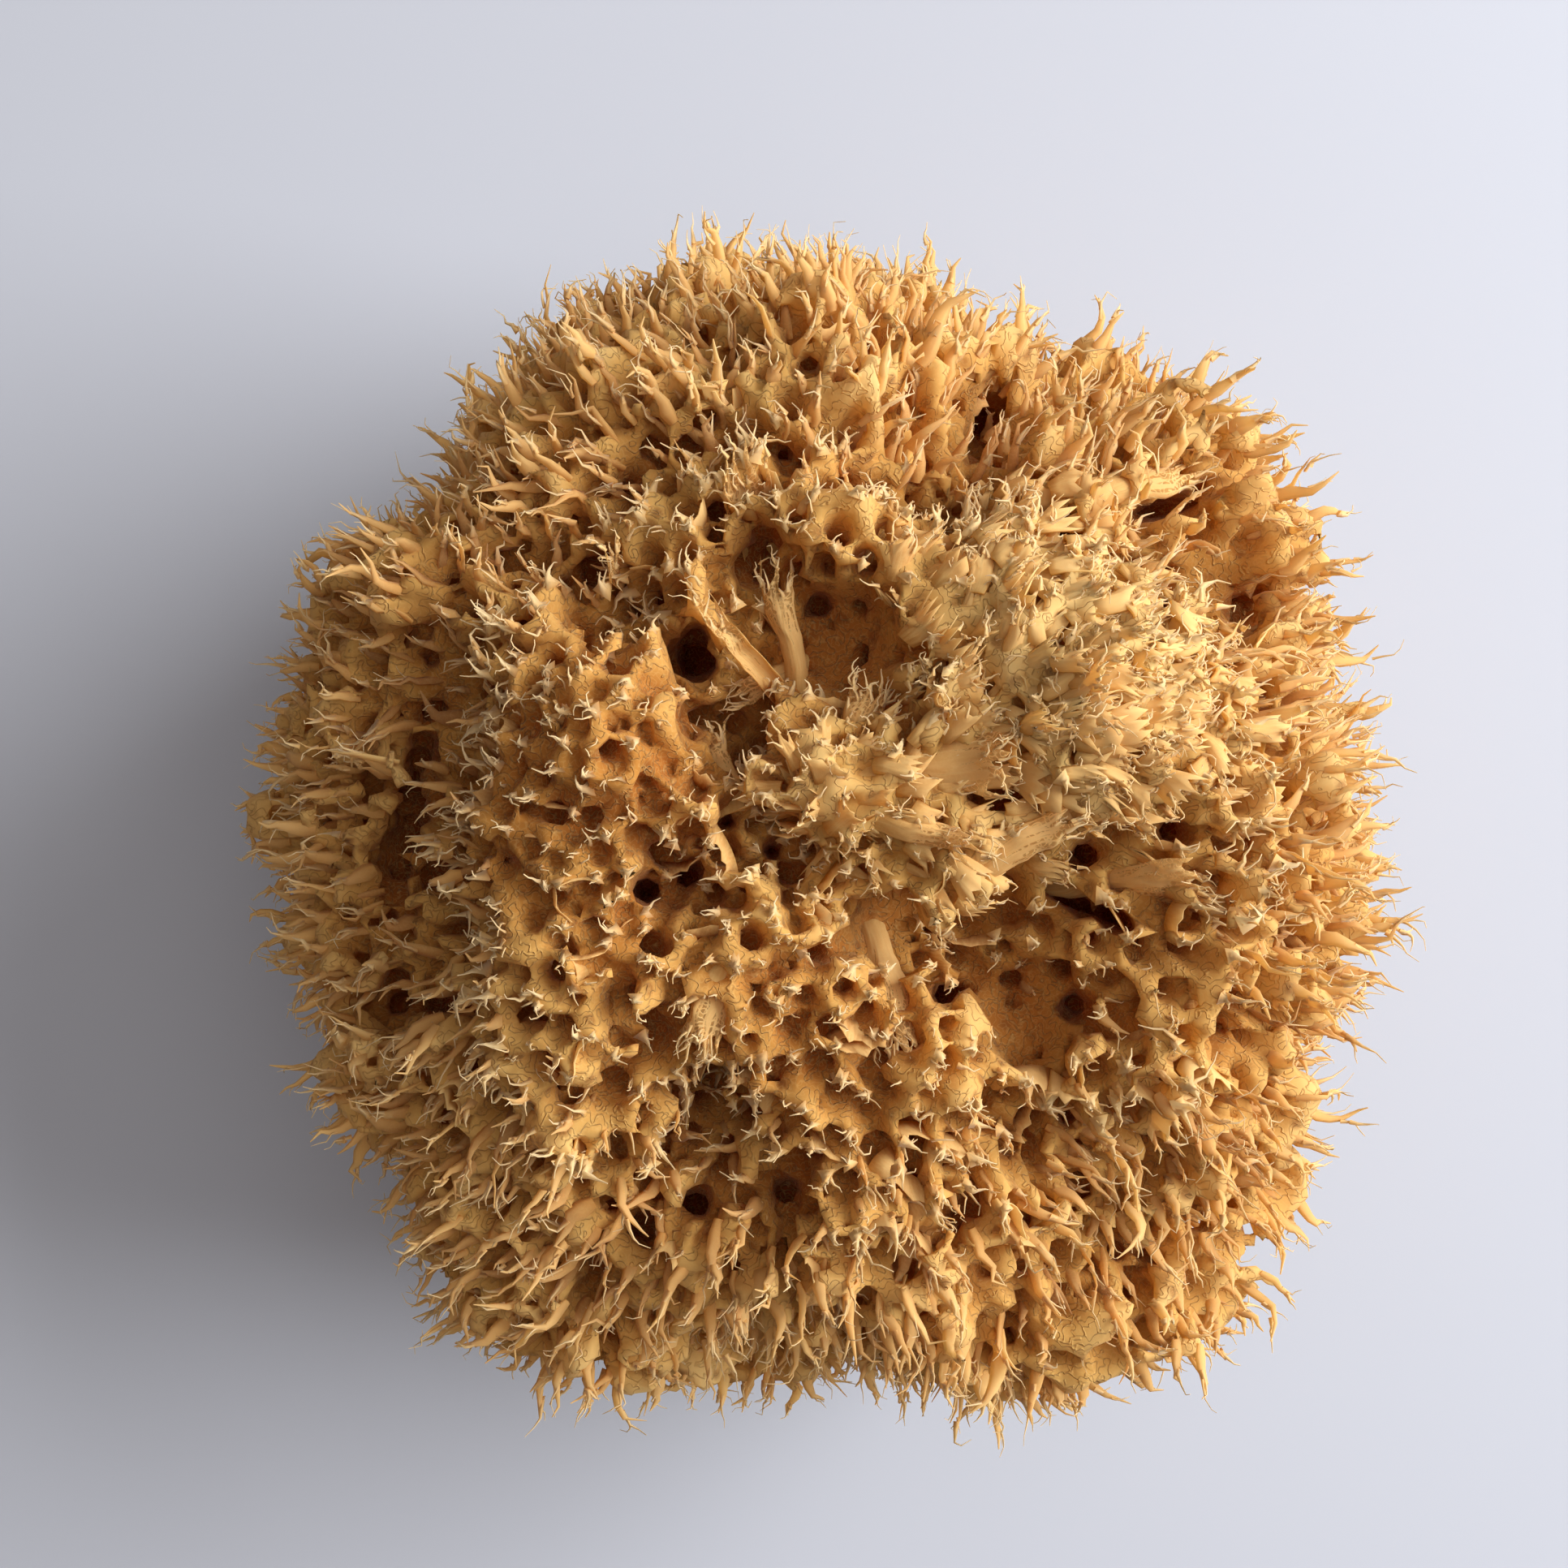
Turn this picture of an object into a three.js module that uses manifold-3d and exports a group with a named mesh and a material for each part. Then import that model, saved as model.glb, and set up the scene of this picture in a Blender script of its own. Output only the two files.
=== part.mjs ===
// A dried natural sea sponge, one grown piece, in millimetres with +Z up. It is a lobed dome that is cut flat
// at the foot, where it left the rock. Fused tufts stand all over it, and round canals open between them.
// The origin is under the middle of the dome, in the plane of the cut. +X is to the right and +Y is away
// from a viewer who looks down on it.
import * as THREE from "three";
import { mergeVertices } from "three/addons/utils/BufferGeometryUtils.js";
import Module from "manifold-3d";

// Driving dimensions
const WIDTH = 80; // along X, over the tips of the tufts
const DEPTH = 83; // along Y, over the tips of the tufts
const HEIGHT = 58; // from the cut to the highest tips
const HEART_HEIGHT = 25; // from the cut up to the point that everything grows away from
const FOOT_REACH = 35; // how far below that point the dome would reach if it weren't cut
const TUFT_HEIGHT = 4.6; // a full tuft, from the floor between tufts to its tip
const TUFT_TIP = 2.3; // how much of that stands above the mean surface
const GRAIN_STEPS = 20; // each edge of the starting icosahedron is parted into this many
const MARGIN = 1; // what the smooth dome leaves to the lobes at its widest level
const WANDER = 0.5; // how far the surface wanders between the lobes
const SUNK = 0.6; // how far the whole mean surface is drawn in
const TIP_LOWEST = 0.55; // the shortest tip, as a share of a full one
const TIP_SPREAD = 0.75; // and how much the tallest adds to that
const RIDGES = 0.3; // the share of the points between tips that stand up as ridges
const RIDGE_HEIGHT = 0.55; // a ridge's height, as a share of a full tuft's
const GRAIN_HEIGHT = 0.25; // the height of the rest, at most
const SIDEWAYS = 0.55; // how far each point strays sideways, as a share of the way to the next
const BARENESS = 0.75; // how much shorter the tufts are in a basin

// The parts of the dome that swell or sink: where its middle is, as the turn from +X towards +Y and the rise
// above level, its spread, all in degrees, and how far it stands out in millimetres
const LOBES = [
  { name: "crown, left", turn: 170, rise: 69, spread: 25, out: 2.4 },
  { name: "crown, right", turn: 29, rise: 60, spread: 20, out: 3.0 },
  { name: "far side", turn: 101, rise: 33, spread: 21, out: 2.2 },
  { name: "far left shoulder", turn: 117, rise: 12, spread: 14, out: 2.6 },
  { name: "far right shoulder", turn: 46, rise: 27, spread: 15, out: 3.0 },
  { name: "right flank", turn: 348, rise: 32, spread: 19, out: 2.2 },
  { name: "near right flank", turn: 309, rise: 20, spread: 18, out: 3.0 },
  { name: "near bulge", turn: 288, rise: 15, spread: 12, out: 3.4 },
  { name: "near left flank", turn: 230, rise: 18, spread: 17, out: 3.4 },
  { name: "left flank", turn: 182, rise: 24, spread: 16, out: 1.6 },
  { name: "left shoulder", turn: 150, rise: 33, spread: 13, out: 1.2 },
];
const HOLLOWS = [
  { name: "basin on the crown", turn: 84, rise: 71, spread: 10, out: -5.8 },
  { name: "small basin", turn: 313, rise: 80, spread: 6, out: -3.6 },
  { name: "far cleft, foot", turn: 62, rise: 19, spread: 7, out: -5.0 },
  { name: "far cleft, head", turn: 68, rise: 44, spread: 8, out: -5.3 },
  { name: "cleft by the right crown", turn: 43, rise: 40, spread: 6, out: -3.8 },
  { name: "slot below the right crown", turn: 342, rise: 62, spread: 5, out: -3.8 },
  { name: "left cleft, head", turn: 164, rise: 45, spread: 8, out: -4.3 },
  { name: "left cleft, foot", turn: 190, rise: 42, spread: 9, out: -4.6 },
  { name: "near cleft", turn: 248, rise: 47, spread: 8, out: -4.8 },
  { name: "near right cleft, head", turn: 325, rise: 59, spread: 7, out: -3.4 },
  { name: "near right cleft, middle", turn: 310, rise: 47, spread: 8, out: -4.1 },
  { name: "near right cleft, foot", turn: 303, rise: 34, spread: 7, out: -3.4 },
  { name: "far left dip", turn: 139, rise: 12, spread: 9, out: -4.3 },
  { name: "near dip", turn: 266, rise: 12, spread: 11, out: -3.8 },
  { name: "near left notch", turn: 224, rise: 6, spread: 5, out: -4.8 },
  { name: "right notch", turn: 12, rise: 15, spread: 7, out: -4.3 },
];

// The canals' mouths: where each opens, its mouth's radius and its depth below the mean surface
const CANALS = [
  { turn: 128, rise: 68, radius: 1.6, depth: 14 },
  { turn: 105, rise: 62, radius: 2.1, depth: 9 },
  { turn: 138, rise: 73, radius: 1.7, depth: 8 },
  { turn: 131, rise: 53, radius: 1.5, depth: 8 },
  { turn: 306, rise: 70, radius: 1.3, depth: 9 },
  { turn: 325, rise: 59, radius: 1.7, depth: 9 },
  { turn: 345, rise: 62, radius: 1.6, depth: 9 },
  { turn: 339, rise: 59, radius: 1.5, depth: 9 },
  { turn: 0, rise: 55, radius: 1.3, depth: 8 },
  { turn: 355, rise: 64, radius: 1.3, depth: 8 },
  { turn: 198, rise: 71, radius: 1.5, depth: 8 },
  { turn: 199, rise: 85, radius: 1.3, depth: 9 },
  { turn: 68, rise: 46, radius: 1.9, depth: 9 },
  { turn: 42, rise: 40, radius: 1.7, depth: 9 },
  { turn: 28, rise: 37, radius: 1.8, depth: 8 },
  { turn: 249, rise: 48, radius: 1.8, depth: 9 },
  { turn: 186, rise: 41, radius: 1.7, depth: 8 },
  { turn: 168, rise: 45, radius: 1.5, depth: 8 },
];
// Further mouths, spread round the lower flanks by the golden angle
const FLANK_CANALS = 12;
const FLANK_CANAL_TURN = 20; // degrees, for the first
const FLANK_CANAL_RISE = -14; // degrees, for the lowest
const FLANK_CANAL_RISES = 2.6; // degrees, from one height to the next
const FLANK_CANAL_RADIUS = 1.5; // the narrowest
const FLANK_CANAL_WIDENS = 0.2; // from one of the three sizes to the next
const FLANK_CANAL_DEPTH = 7;
// Canals that the cut at the foot laid open, on a spiral
const FOOT_CANALS = 6;
const FOOT_CANAL_OUT = 7; // the first one's distance from the middle
const FOOT_CANAL_STEP = 2.4; // how much farther out each next one is
const FOOT_CANAL_RADIUS = 2.0; // the widest
const FOOT_CANAL_NARROWS = 0.15; // from one of the three sizes to the next
const FOOT_CANAL_LEAN = 0.15; // towards the middle on the way up, as a slope
const FOOT_CANAL_DEPTH = 8;
const CANAL_SIDES = 8;
const CANAL_FLARE = 1.6; // a canal's width among the tips, as a share of its mouth's
const CANAL_END = 0.5; // and at its inner end
const MOUTH_LEAD = 5; // how far a canal's cutter reaches out past the mean surface

const HALF = { x: WIDTH / 2, y: DEPTH / 2, up: HEIGHT - HEART_HEIGHT };
const GOLDEN_ANGLE = 180 * (3 - Math.sqrt(5));
const heart = new THREE.Vector3(0, 0, HEART_HEIGHT);

// The same random numbers on every run.
function seededRandom(seed) {
  let state = seed;
  return () => {
    state = (state + 0x6d2b79f5) | 0;
    let mixed = Math.imul(state ^ (state >>> 15), 1 | state);
    mixed = (mixed + Math.imul(mixed ^ (mixed >>> 7), 61 | mixed)) ^ mixed;
    return ((mixed ^ (mixed >>> 14)) >>> 0) / 4294967296;
  };
}

function towards(turn, rise) {
  const turnRad = THREE.MathUtils.degToRad(turn);
  const riseRad = THREE.MathUtils.degToRad(rise);
  const level = Math.cos(riseRad);
  return new THREE.Vector3(level * Math.cos(turnRad), level * Math.sin(turnRad), Math.sin(riseRad));
}

// How much of a lobe or hollow is felt in a direction, from 1 at its middle down to 0.
function share(place, direction) {
  const away = THREE.MathUtils.radToDeg(direction.angleTo(towards(place.turn, place.rise)));
  return Math.exp(-((away / place.spread) ** 2));
}

// The mean surface, with no tufts: its distance from the heart in a direction.
function meanRadius(direction) {
  const below = direction.z < 0;
  const reach = below ? FOOT_REACH : HALF.up - TUFT_TIP;
  const across = Math.hypot(
    direction.x / (HALF.x - TUFT_TIP - MARGIN),
    direction.y / (HALF.y - TUFT_TIP - MARGIN),
    direction.z / reach,
  );
  const swell = [...LOBES, ...HOLLOWS].reduce((sum, place) => sum + place.out * share(place, direction), 0);
  const wander = Math.sin(7 * direction.x + 3 * direction.y) + Math.sin(6 * direction.y - 8 * direction.z + 1);
  return 1 / across + swell + WANDER * wander - SUNK;
}

// Tufts are short in the basins, where the bare porous floor shows.
function tuftShare(direction) {
  const basins = HOLLOWS.filter((place) => place.name.includes("basin"));
  const bare = basins.reduce((most, place) => Math.max(most, share(place, direction)), 0);
  return 1 - BARENESS * bare;
}

// Which grid points touch which.
function neighbours(grid) {
  const near = Array.from({ length: grid.attributes.position.count }, () => new Set());
  const corners = grid.index.array;
  for (let i = 0; i < corners.length; i += 3) {
    for (let k = 0; k < 3; k += 1) {
      near[corners[i + k]].add(corners[i + ((k + 1) % 3)]);
      near[corners[i + k]].add(corners[i + ((k + 2) % 3)]);
    }
  }
  return near;
}

// Picks the grid points that become tips: in a random order, and never two that touch.
function chooseTips(near, random) {
  const order = near.map((_, i) => ({ i, draw: random() })).sort((a, b) => a.draw - b.draw);
  const tips = new Set();
  for (const { i } of order) {
    if (![...near[i]].some((j) => tips.has(j))) tips.add(i);
  }
  return tips;
}

// The lobed surface with its tufts fused on, closed all round: each tip is a grid point that is drawn out,
// and some of the points between two tips stand as low ridges that join them.
function tuftedSurface() {
  const random = seededRandom(11);
  const sphere = new THREE.IcosahedronGeometry(1, GRAIN_STEPS - 1);
  sphere.deleteAttribute("normal");
  sphere.deleteAttribute("uv");
  const grid = mergeVertices(sphere, 1e-4);
  const near = neighbours(grid);
  const tips = chooseTips(near, random);
  const step = Math.sqrt((4 * Math.PI) / near.length);
  const position = grid.attributes.position;
  const floor = TUFT_TIP - TUFT_HEIGHT;
  for (let i = 0; i < position.count; i += 1) {
    const direction = new THREE.Vector3().fromBufferAttribute(position, i);
    const sideways = new THREE.Vector3(random() - 0.5, random() - 0.5, random() - 0.5);
    direction.addScaledVector(sideways, SIDEWAYS * step).normalize();
    const stand = tips.has(i)
      ? TUFT_TIP * (TIP_LOWEST + TIP_SPREAD * random())
      : floor + TUFT_HEIGHT * (random() < RIDGES ? RIDGE_HEIGHT : GRAIN_HEIGHT * random());
    const from = meanRadius(direction) + floor;
    const reach = from + (stand - floor) * tuftShare(direction);
    position.setXYZ(i, ...direction.multiplyScalar(reach).add(heart).toArray());
  }
  return grid;
}

// A round tapered cutter for one canal, from outside its mouth down to its blind end.
function canalCutter(mouth, inward, radius, depth) {
  const length = depth + MOUTH_LEAD;
  const cutter = new THREE.CylinderGeometry(radius * CANAL_FLARE, radius * CANAL_END, length, CANAL_SIDES);
  cutter.translate(0, MOUTH_LEAD - length / 2, 0);
  const outward = inward.clone().negate();
  cutter.applyQuaternion(new THREE.Quaternion().setFromUnitVectors(new THREE.Vector3(0, 1, 0), outward));
  cutter.translate(mouth.x, mouth.y, mouth.z);
  return cutter;
}

function topCanals() {
  return CANALS.map(({ turn, rise, radius, depth }) => {
    const outward = towards(turn, rise);
    const mouth = outward.clone().multiplyScalar(meanRadius(outward)).add(heart);
    return canalCutter(mouth, outward.negate(), radius, depth);
  });
}

function flankCanals() {
  return Array.from({ length: FLANK_CANALS }, (_, i) => {
    const level = (i * 7) % FLANK_CANALS;
    const turn = i * GOLDEN_ANGLE + FLANK_CANAL_TURN;
    const outward = towards(turn, FLANK_CANAL_RISE + level * FLANK_CANAL_RISES);
    const mouth = outward.clone().multiplyScalar(meanRadius(outward)).add(heart);
    const radius = FLANK_CANAL_RADIUS + FLANK_CANAL_WIDENS * (i % 3);
    return canalCutter(mouth, outward.negate(), radius, FLANK_CANAL_DEPTH);
  });
}

function footCanals() {
  return Array.from({ length: FOOT_CANALS }, (_, i) => {
    const around = THREE.MathUtils.degToRad(i * GOLDEN_ANGLE);
    const out = FOOT_CANAL_OUT + FOOT_CANAL_STEP * i;
    const away = new THREE.Vector3(Math.cos(around), Math.sin(around), 0);
    const mouth = away.clone().multiplyScalar(out);
    const inward = away.clone().multiplyScalar(-FOOT_CANAL_LEAN).setZ(1).normalize();
    return canalCutter(mouth, inward, FOOT_CANAL_RADIUS - FOOT_CANAL_NARROWS * (i % 3), FOOT_CANAL_DEPTH);
  });
}

// The half space below the cut at the foot.
function groundCutter() {
  const block = new THREE.BoxGeometry(3 * WIDTH, 3 * DEPTH, HEIGHT);
  block.translate(0, 0, -HEIGHT / 2);
  return block;
}

function toSolid(wasm, geometry) {
  const bare = geometry.clone();
  bare.deleteAttribute("normal");
  bare.deleteAttribute("uv");
  const merged = mergeVertices(bare, 1e-4);
  return new wasm.Manifold(
    new wasm.Mesh({
      numProp: 3,
      vertProperties: merged.attributes.position.array,
      triVerts: new Uint32Array(merged.index.array),
    }),
  );
}

function toGeometry(solid) {
  const { vertProperties, triVerts } = solid.getMesh();
  const geometry = new THREE.BufferGeometry();
  geometry.setAttribute("position", new THREE.BufferAttribute(vertProperties, 3));
  geometry.setIndex(new THREE.BufferAttribute(triVerts, 1));
  geometry.computeVertexNormals();
  return geometry;
}

// Puts the origin under the middle of the sponge, and makes it as wide, deep and high over the tips as it
// should be.
function toSize(geometry) {
  geometry.computeBoundingBox();
  const middle = geometry.boundingBox.getCenter(new THREE.Vector3());
  const size = geometry.boundingBox.getSize(new THREE.Vector3());
  geometry.translate(-middle.x, -middle.y, 0);
  return geometry.scale(WIDTH / size.x, DEPTH / size.y, HEIGHT / size.z);
}

async function spongeGeometry() {
  const wasm = await Module();
  wasm.setup();
  const cutters = [...topCanals(), ...flankCanals(), ...footCanals(), groundCutter()];
  const whole = toSolid(wasm, tuftedSurface());
  const shaped = cutters.reduce((solid, cutter) => solid.subtract(toSolid(wasm, cutter)), whole);
  return toSize(toGeometry(shaped));
}

const spongin = new THREE.MeshStandardMaterial({ color: 0xc79a58, roughness: 0.9, metalness: 0 });

const sponge = new THREE.Mesh(await spongeGeometry(), spongin);
sponge.name = "sponge";

const model = new THREE.Group();
model.add(sponge);

export default model;
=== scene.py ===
"""A dried natural sea sponge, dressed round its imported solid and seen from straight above."""

import math

import bpy
import numpy as np
import openvdb
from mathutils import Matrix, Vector
from mathutils.kdtree import KDTree


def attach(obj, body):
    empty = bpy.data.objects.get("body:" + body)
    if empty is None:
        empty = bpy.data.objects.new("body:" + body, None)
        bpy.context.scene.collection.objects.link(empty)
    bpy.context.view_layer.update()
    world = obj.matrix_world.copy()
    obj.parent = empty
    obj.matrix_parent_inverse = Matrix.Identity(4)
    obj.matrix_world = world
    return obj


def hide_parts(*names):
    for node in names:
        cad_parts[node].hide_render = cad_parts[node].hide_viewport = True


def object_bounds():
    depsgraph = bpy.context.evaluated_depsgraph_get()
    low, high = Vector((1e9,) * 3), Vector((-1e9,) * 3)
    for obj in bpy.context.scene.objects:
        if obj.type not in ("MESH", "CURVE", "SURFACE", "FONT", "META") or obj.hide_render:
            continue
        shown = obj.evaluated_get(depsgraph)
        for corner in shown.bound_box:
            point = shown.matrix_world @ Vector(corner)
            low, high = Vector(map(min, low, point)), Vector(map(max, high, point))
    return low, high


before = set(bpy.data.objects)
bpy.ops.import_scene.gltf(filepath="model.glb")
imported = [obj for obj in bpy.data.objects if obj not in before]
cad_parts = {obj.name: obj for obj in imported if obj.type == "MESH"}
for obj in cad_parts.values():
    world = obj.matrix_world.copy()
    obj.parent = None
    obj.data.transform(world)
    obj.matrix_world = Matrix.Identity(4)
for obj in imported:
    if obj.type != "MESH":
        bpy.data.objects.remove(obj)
solid_low, solid_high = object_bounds()
MM = 0.001

# The sponge's flesh
# The real body is one grown mass of felted horny fibre. Thin walls stand on it round open pits, and rise to
# a horn wherever three of them meet. Round canals and fine pores run down between them. It was cut from its
# rock with a knife, so its foot is flat. Here it is a block of distances that is sculpted, then given a skin.

VOXEL = 0.42 * MM
HEART = np.array([0, 0, 25]) * MM  # the point that the sponge grows away from, as in the solid
FOOT_DRAWN_DOWN = -14 * MM  # the foot is drawn down to here while the body is softened, and cut off again
SOFTENED_BY = 3  # voxels to each side, three times over: it takes the solid's tufts down to their mean
MEAN_SINKS = 1.9 * MM
LUMP_SIZE, LUMP_HEIGHT = 8 * MM, 0.7 * MM
SPREAD, FELT_SPREAD = 2.2, 1.6  # how far a swell, basin, patch of painted light and shade, or felted place reaches, in its own radii

CROWN_RISE, FLANK_RISE = math.radians(58), math.radians(36)
PIT_SPACING = (2.0 * MM, 2.2 * MM)  # this pair and the next two are for the crown and for the flanks
PIT_DEPTH = (0.75 * MM, 1.5 * MM)
HORN_HEIGHT = (1.15 * MM, 1.9 * MM)
PIT_TRIES = 26_000
PIT_ROOMS = (0.776, 1.15)  # how far pits keep apart, over their spacing: when they are placed, and moved
PIT_PASSES = 7  # the rounds in which neighbouring pits move apart
LOWEST_PIT = -2 * MM
PIT_REACH = (7 * MM, 6 * MM)  # how far a pit's axis is followed inwards and outwards
DEEPEST_PIT = 4.2 * MM
CAP_BUMPS, FLOOR_BUMPS = 0.4 * MM, 0.25 * MM
PITS_JOIN = 0.5 * MM  # the fillet between walls and floors
CUP = 0.16  # the share of a pit's depth that its rounded floor takes
FLOOR_HALF, MOUTH_HALF = 0.30, 0.60  # a pit's radius over its spacing, above the cup and at the horns' tips
PORES = 6500
PORE_RADII = (0.38 * MM, 0.95 * MM)
PORE_DEPTH = 1.9  # in a pore's own radii

HALF_VIEW = 0.4245  # the tangent of half the camera's angle of view
CAMERA = np.array([-2.95, 3.2, 156]) * MM
HALF_PHOTO = 966  # pixels

# The canals that show from above: pixel x and y in the photograph, radius and depth in millimetres.
HOLES = (
    (853, 812, 1.55, 16),
    (935, 698, 1.9, 2.4),
    (862, 882, 1.2, 4),
    (735, 700, 1.2, 5),
    (1162, 1225, 0.85, 11),
    (1325, 1238, 1.1, 4),
    (1440, 1024, 0.9, 6),
    (1340, 1052, 1.0, 6),
    (797, 1098, 0.8, 9),
    (848, 1080, 0.75, 9),
    (952, 1048, 0.55, 9),
    (897, 1012, 0.45, 8),
    (965, 968, 0.35, 5),
    (1215, 500, 1.6, 5),
    (860, 1480, 1.1, 6),
    (795, 1512, 1.1, 5),
    (970, 1470, 1.0, 5),
    (1530, 750, 1.1, 5),
    (1600, 730, 1.0, 4),
    (520, 985, 1.5, 4),
    (505, 1040, 1.4, 4),
    (540, 1075, 1.3, 4),
    (490, 1215, 1.2, 4),
    (880, 630, 0.8, 4),
    (1010, 748, 0.9, 3),
    (1120, 1390, 0.8, 4),
    (1200, 1480, 0.9, 5),
    (1175, 1500, 0.7, 5),
    (965, 560, 0.8, 4),
    (860, 410, 0.9, 4),
)
# Slots between two folds: the pixels of both ends, half the width and the depth in millimetres.
SLOTS = (
    (1350, 1118, 1395, 1142, 0.65, 10),
    (1385, 636, 1490, 618, 0.6, 6),
    (1195, 978, 1300, 985, 0.7, 4),
    (1420, 770, 1440, 700, 0.6, 4),
    (530, 880, 480, 1130, 1.3, 4),
    (1225, 470, 1195, 580, 1.1, 4),
    (1295, 1095, 1350, 1125, 0.6, 6),
    (430, 1230, 600, 1240, 0.9, 4),
    (1330, 650, 1290, 665, 0.5, 5),
)
# Basins with a bare porous floor: pixel x and y, radius across and depth in millimetres.
BASINS = (
    (1035, 785, 4.0, 3.2),
    (1105, 1125, 3.2, 2.6),
    (1265, 1250, 3.6, 2.0),
    (1240, 965, 2.8, 1.4),
    (560, 860, 4.0, 2.2),
    (1490, 730, 4.0, 2.6),
    (1220, 520, 3.8, 2.6),
)
# Soft folds that swell over their neighbours: pixel x and y, radius and height in millimetres.
SWELLS = (
    (1330, 800, 7.5, 2.6),
    (1420, 900, 5.0, 1.6),
    (1230, 690, 5.0, 1.6),
    (740, 960, 8.0, 1.6),
    (1040, 980, 4.0, 1.4),
    (1300, 1090, 3.2, 1.2),
)
# Felted places whose pits are shallow and whose horns are low: pixel x and y, radius in millimetres and share.
FELTED = (
    (690, 960, 9.5, 0.7),
    (1330, 800, 7.0, 0.25),
    (1240, 690, 4.5, 0.3),
    (1010, 1010, 6.0, 0.8),
    (880, 1150, 5.0, 0.8),
)
# Painted light and shade: above 0, places painted paler where the window light falls on the right side; below 0,
# painted shade as a deeper amber on the left, low in the middle and in basins. Pixel x and y, radius in
# millimetres and how much.
PAINTED_LIGHT_AND_SHADE = (
    (1330, 800, 9.0, 2.8),
    (1420, 900, 6.0, 1.4),
    (1240, 690, 6.0, 1.6),
    (1230, 990, 7.0, 1.2),
    (690, 960, 12.0, -2.2),
    (1010, 1010, 5.0, 2.2),
    (950, 1300, 7.0, -1.6),
    (1035, 785, 4.5, -1.6),
    (1265, 1250, 4.5, -0.8),
)

rng = np.random.default_rng(7)


def unit(vectors):
    return vectors / np.maximum(np.linalg.norm(vectors, axis=-1, keepdims=True), 1e-12)


def step(low, high, value):
    """A smooth step from 0 at low to 1 at high."""
    share = np.clip((value - low) / (high - low), 0, 1)
    return share * share * (3 - 2 * share)


def points_of(mesh):
    """A mesh's points, as rows of three."""
    places = np.empty(len(mesh.vertices) * 3, np.float32)
    mesh.vertices.foreach_get("co", places)
    return places.reshape(-1, 3)


def merged_points(mesh):
    """A mesh's points, each once, and its triangles."""
    mesh.calc_loop_triangles()
    corners = np.empty(len(mesh.loop_triangles) * 3, np.int32)
    mesh.loop_triangles.foreach_get("vertices", corners)
    grid = np.round(points_of(mesh) * 1e7).astype(np.int64)
    once, which = np.unique(grid, axis=0, return_inverse=True)
    return (once / 1e7).astype(np.float32), which.reshape(-1)[corners.reshape(-1, 3)]


def softened(values, radius, times):
    """Each voxel averaged with its neighbours, by running sums along each axis."""
    width = 2 * radius + 1
    for axis in (0, 1, 2) * times:
        lines = np.moveaxis(values, axis, 0)
        lines = np.concatenate([np.repeat(lines[:1], radius + 1, 0), lines, np.repeat(lines[-1:], radius, 0)])
        sums = np.cumsum(lines, axis=0, dtype=np.float64)
        values = np.moveaxis(((sums[width:] - sums[:-width]) / width).astype(np.float32), 0, axis)
    return values


def tree_of(places):
    tree = KDTree(len(places))
    for k, place in enumerate(places):
        tree.insert(place, k)
    tree.balance()
    return tree


def spaced_out(places, room, usable=None):
    """Which of some places to keep, so that each kept one has no later one within its room."""
    tree = tree_of(places)
    room = np.broadcast_to(room, len(places))
    usable = np.ones(len(places), bool) if usable is None else usable.copy()
    kept = []
    for k, place in enumerate(places):
        if usable[k]:
            kept.append(k)
            for _, other, _ in tree.find_range(place, room[k]):
                usable[other] = False
    return kept


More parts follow.
